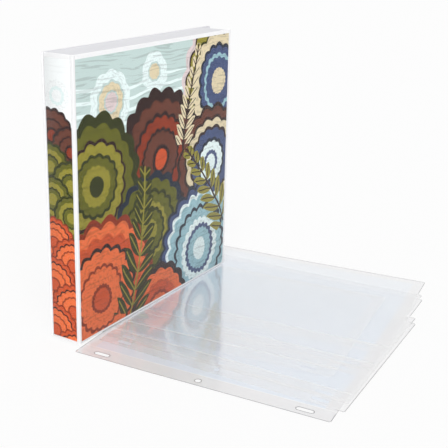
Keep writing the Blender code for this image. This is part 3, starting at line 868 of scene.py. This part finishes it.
class BINDER_OT_rings(Operator):
    """Bends the six half rings from round wire"""

    bl_idname = "binder.rings"
    bl_label = "Half Rings"

    def execute(self, context):
        metal = context.scene.binder_metal
        lines = (900.0, 900.0, 4000.0)
        nickel = metal_finish("ring_nickel", metal.nickel, metal.roughness, lines)
        for side in ("left", "right"):
            for place in ("top", "middle", "bottom"):
                node = f"ring_{side}_{place}"
                settle(self.half_ring(node, metal.foot_bend), nickel, "bright_steel", node)
        return {"FINISHED"}

    def half_ring(self, node, foot_bend):
        """Wire from the tip over the middle, round an arc and down to its foot."""
        low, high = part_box(node)
        wire = (high.z - low.z) / 2
        side = 1 if node.startswith("ring_right") else -1
        tip = low.x if side > 0 else high.x
        radius = high.x - low.x - wire
        foot = [vert.co for vert in nodes[node].data.vertices if vert.co.y > high.y - 1e-5]
        leg = abs(sum(co.x for co in foot) / len(foot) - tip)
        centre = low.y + wire + radius
        end = math.acos(leg / radius)
        corner = Vector((leg, centre + radius * math.sin(end)))
        bend = min(foot_bend, 0.9 * (high.y - corner.y))
        start = -math.pi / 2
        stop = end - bend / radius
        points = []
        for i in range(ARC_STEPS + 1):
            turn = start + (stop - start) * i / ARC_STEPS
            points.append(Vector((radius * math.cos(turn), centre + radius * math.sin(turn))))
        first = points[-1]
        last = corner + Vector((0, bend))
        for i in range(1, FOOT_STEPS + 1):
            part = i / FOOT_STEPS
            points.append(first.lerp(corner, part).lerp(corner.lerp(last, part), part))
        points.append(Vector((leg, high.y)))
        curve = bpy.data.curves.new(node + "_wire", "CURVE")
        curve.dimensions = "3D"
        curve.bevel_depth = wire
        curve.bevel_resolution = 6
        curve.use_fill_caps = True
        spline = curve.splines.new("POLY")
        spline.points.add(len(points) - 1)
        for target, (x, y) in zip(spline.points, points):
            target.co = (tip + side * x, y, (low.z + high.z) / 2, 1)
        return add_object(node + "_wire", curve)


class BINDER_OT_mechanism(Operator):
    """Dresses the housing, blades, levers, pins and rivets of the ring mechanism"""

    bl_idname = "binder.mechanism"
    bl_label = "Ring Mechanism"

    def execute(self, context):
        metal = context.scene.binder_metal
        along = (4000.0, 4000.0, 60.0)
        even = (2500.0, 2500.0, 2500.0)
        nickel = metal_finish("nickel", metal.nickel, metal.roughness, along)
        steel = metal_finish("steel", metal.steel, metal.steel_roughness, even)
        for node in ("ring_housing", "blade_left", "blade_right", "lever_top", "lever_bottom"):
            piece = rounded_copy(node + "_plate", node, metal.edge_round)
            settle(piece, nickel, "bright_steel", node)
        for node in ("lever_pin_top", "lever_pin_bottom", "rivet_top", "rivet_bottom"):
            piece = rounded_copy(node + "_turned", node, metal.edge_round)
            settle(piece, steel, "dull_steel", node)
        return {"FINISHED"}


class Page:
    """Where a page lies: the middle of its binding edge, the way that edge runs, and its size."""

    def __init__(self, node):
        bm = welded(node)
        points = [vert.co.copy() for vert in bm.verts]
        outline = [
            edge.verts[1].co - edge.verts[0].co
            for edge in bm.edges
            if abs(edge.link_faces[0].normal.z - edge.link_faces[1].normal.z) > 0.5
        ]
        bm.free()
        run = max(outline, key=lambda edge: edge.length).normalized()
        inward = Vector((-run.y, run.x, 0))
        across = [point.dot(inward) for point in points]
        # Most points are on the rims of the holes, so their mean lies near the binding edge.
        if sum(across) / len(points) > (min(across) + max(across)) / 2:
            run, inward = -run, -inward
            across = [-value for value in across]
        along = [point.dot(run) for point in points]
        self.long = max(along) - min(along)
        self.wide = max(across) - min(across)
        self.height = min(point.z for point in points)
        origin = run * (max(along) + min(along)) / 2 + inward * min(across)
        self.matrix = Matrix.Translation((origin.x, origin.y, self.height))
        self.matrix @= Matrix((run, inward, (0, 0, 1))).transposed().to_4x4()
        self.inverse = self.matrix.inverted()

    def apart(self, place):
        """How far a place lies outside the page's outline."""
        local = self.inverse @ place
        aside = max(0, abs(local.x) - self.long / 2)
        ahead = max(0, -local.y, local.y - self.wide)
        return math.hypot(aside, ahead)


def eased(value):
    """A value held between 0 and 1, with a soft start and end."""
    value = min(1, max(0, value))
    return value * value * (3 - 2 * value)


class BINDER_OT_pages(Operator):
    """Lays the clear pages, each coming down to what lies under it away from the case"""

    bl_idname = "binder.pages"
    bl_label = "Clear Pages"

    def execute(self, context):
        settings = context.scene.binder_page
        names = sorted(node for node in nodes if node.startswith("page_"))
        pages = [Page(node) for node in names]
        lay = pages[0]
        # Only the front page's holes get a strong ring of painted shadow.
        rim_shadow = settings.other_rim_shadow
        front = page_finish(
            "front_page_film", settings, lay, settings.front_rim_shadow, settings.front_milk
        )
        upper = page_finish("top_page_film", settings, lay, rim_shadow, settings.top_milk)
        film = page_finish("page_film", settings, lay, rim_shadow, 1.0)
        finishes = {names[1]: front, names[-1]: upper}
        for i, (node, page) in enumerate(zip(names, pages)):
            mesh = self.lying(node, page, pages[:i], pages[i + 1 :], settings)
            piece = add_object(node + "_film", mesh)
            piece.matrix_world = page.matrix
            settle(piece, finishes.get(node, film), "clear_page", node)
        return {"FINISHED"}

    def lying(self, node, page, below, above, settings):
        """A page's film, cut into small fields so that it bends down to the pages below it."""
        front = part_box("front_cover")[0]
        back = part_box("back_tray")[1]
        bm = welded(node)
        bm.transform(page.inverse)
        for axis, start, end in ((0, -page.long / 2, page.long / 2), (1, 0, page.wide)):
            count = round((end - start) / settings.field)
            for i in range(1, count):
                cut = Vector((0, 0, 0))
                cut[axis] = start + (end - start) * i / count
                normal = Vector((1 - axis, axis, 0))
                fields = [*bm.verts, *bm.edges, *bm.faces]
                bmesh.ops.bisect_plane(bm, geom=fields, plane_co=cut, plane_no=normal, dist=1e-6)
        bare = bm.verts.layers.float.new(BARE)
        gap = settings.bare_gap
        for vert in bm.verts:
            place = page.matrix @ vert.co
            vert[bare] = float(all(other.apart(place) > gap for other in (*below, *above)))
            aside = max(0, front.x - place.x, place.x - back.x)
            ahead = max(0, front.y - place.y, place.y - back.y)
            free = eased((math.hypot(aside, ahead) - settings.flat_room) / settings.fall_room)
            rest = 0
            for lower, upper in zip(below, [*below[1:], page]):
                covered = 1 - eased(lower.apart(place) / settings.lie_reach)
                rest += (upper.height - lower.height) * covered
            vert.co.z += free * (rest - page.height)
        return smooth_mesh(node + "_film", bm)


class BINDER_OT_stage(Operator):
    """Sets the floor, the light from all round, two soft lamps and the camera"""

    bl_idname = "binder.stage"
    bl_label = "Stage"

    def execute(self, context):
        stage = context.scene.binder_stage
        self.floor(stage)
        self.world(context, stage)
        self.lamp("key_lamp", stage.key, stage.key_from, stage.key_spread)
        self.lamp("fill_lamp", stage.fill, stage.fill_from, stage.fill_spread)
        self.camera(context, stage)
        context.scene.view_settings.view_transform = "Standard"
        context.scene.cycles.transparent_max_bounces = CLEAR_LAYERS
        return {"FINISHED"}

    def seen(self, finish):
        """One where the ray comes from the camera, or from gloss or glass."""
        path = finish.node("LightPath")
        return path["Is Camera Ray"] | path["Is Glossy Ray"] | path["Is Transmission Ray"]

    def floor(self, stage):
        """A matt floor that is lifted towards white where it is seen, and keeps its shadow."""
        finish = new_finish("floor_paint")
        soft = finish.noise(finish.place(), scale=4.0)
        sockets = {
            "Base Color": finish.mix(soft, stage.floor, dimmed(stage.floor, 0.985)),
            "Roughness": 1.0,
            "Specular IOR Level": 0.0,
        }
        paint = finish.node("BsdfPrincipled", sockets)
        white = finish.node("Emission", {"Color": (1, 1, 1, 1), "Strength": 1.0})
        finish.show(finish.blend(self.seen(finish) * stage.floor_glow, paint, white))
        bm = bmesh.new()
        bmesh.ops.create_grid(bm, x_segments=8, y_segments=8, size=stage.floor_reach)
        mesh = plain_mesh("floor", bm)
        mesh.materials.append(finish.owner)
        floor = add_object("floor", mesh)
        floor.location.z = -stage.floor_drop

    def world(self, context, stage):
        """Even light from all round, white where it is seen."""
        context.scene.world = bpy.data.worlds.new("studio")
        finish = Finish(context.scene.world)
        white = finish.node("Background", {"Color": (1, 1, 1, 1), "Strength": 1.0})
        dim = finish.node("Background", {"Color": (1, 1, 1, 1), "Strength": stage.ambient})
        finish.show(finish.blend(self.seen(finish), dim, white), "OutputWorld")

    def lamp(self, name, strength, source, spread):
        """A soft sun that doesn't show in mirrors."""
        lamp = bpy.data.lights.new(name, "SUN")
        lamp.energy = strength
        lamp.angle = spread
        made = add_object(name, lamp)
        made.rotation_euler = Vector(source).to_track_quat("Z", "Y").to_euler()
        made.visible_glossy = False

    def camera(self, context, stage):
        data = bpy.data.cameras.new("camera")
        data.sensor_width = 36
        data.lens = stage.lens
        data.shift_x, data.shift_y = stage.shift
        camera = add_object("camera", data)
        camera.matrix_world = (
            Matrix.Translation(stage.camera_place)
            @ Matrix.Rotation(-stage.heading, 4, "Z")
            @ Matrix.Rotation(math.pi / 2 - stage.downward, 4, "X")
            @ Matrix.Rotation(stage.roll, 4, "Z")
        )
        context.scene.camera = camera


STEPS = (
    BINDER_OT_case_shell,
    BINDER_OT_hinges,
    BINDER_OT_pockets,
    BINDER_OT_prints,
    BINDER_OT_rings,
    BINDER_OT_mechanism,
    BINDER_OT_pages,
    BINDER_OT_stage,
)
GROUPS = {
    "binder_case": CaseSettings,
    "binder_print": PrintSettings,
    "binder_page": PageSettings,
    "binder_metal": MetalSettings,
    "binder_stage": StageSettings,
}


class BINDER_PT_sidebar(Panel):
    """Lists the steps that dress the binder, and their settings"""

    bl_idname = "BINDER_PT_sidebar"
    bl_label = "Case Binder"
    bl_space_type = "VIEW_3D"
    bl_region_type = "UI"
    bl_category = "Binder"

    def draw(self, context):
        for step in STEPS:
            self.layout.operator(step.bl_idname)
        for group in GROUPS:
            box = self.layout.box()
            settings = getattr(context.scene, group)
            for name in settings.bl_rna.properties.keys():
                if name not in ("rna_type", "name"):
                    box.prop(settings, name)


def register():
    for name, group in GROUPS.items():
        bpy.utils.register_class(group)
        setattr(bpy.types.Scene, name, PointerProperty(type=group))
    for made in (*STEPS, BINDER_PT_sidebar):
        bpy.utils.register_class(made)


def unregister():
    for made in (BINDER_PT_sidebar, *reversed(STEPS)):
        bpy.utils.unregister_class(made)
    for name, group in GROUPS.items():
        delattr(bpy.types.Scene, name)
        bpy.utils.unregister_class(group)


def main():
    register()
    bpy.ops.binder.case_shell()
    bpy.ops.binder.hinges()
    bpy.ops.binder.pockets()
    bpy.ops.binder.prints()
    bpy.ops.binder.rings()
    bpy.ops.binder.mechanism()
    bpy.ops.binder.pages()
    bpy.ops.binder.stage()


if __name__ == "__main__":
    main()
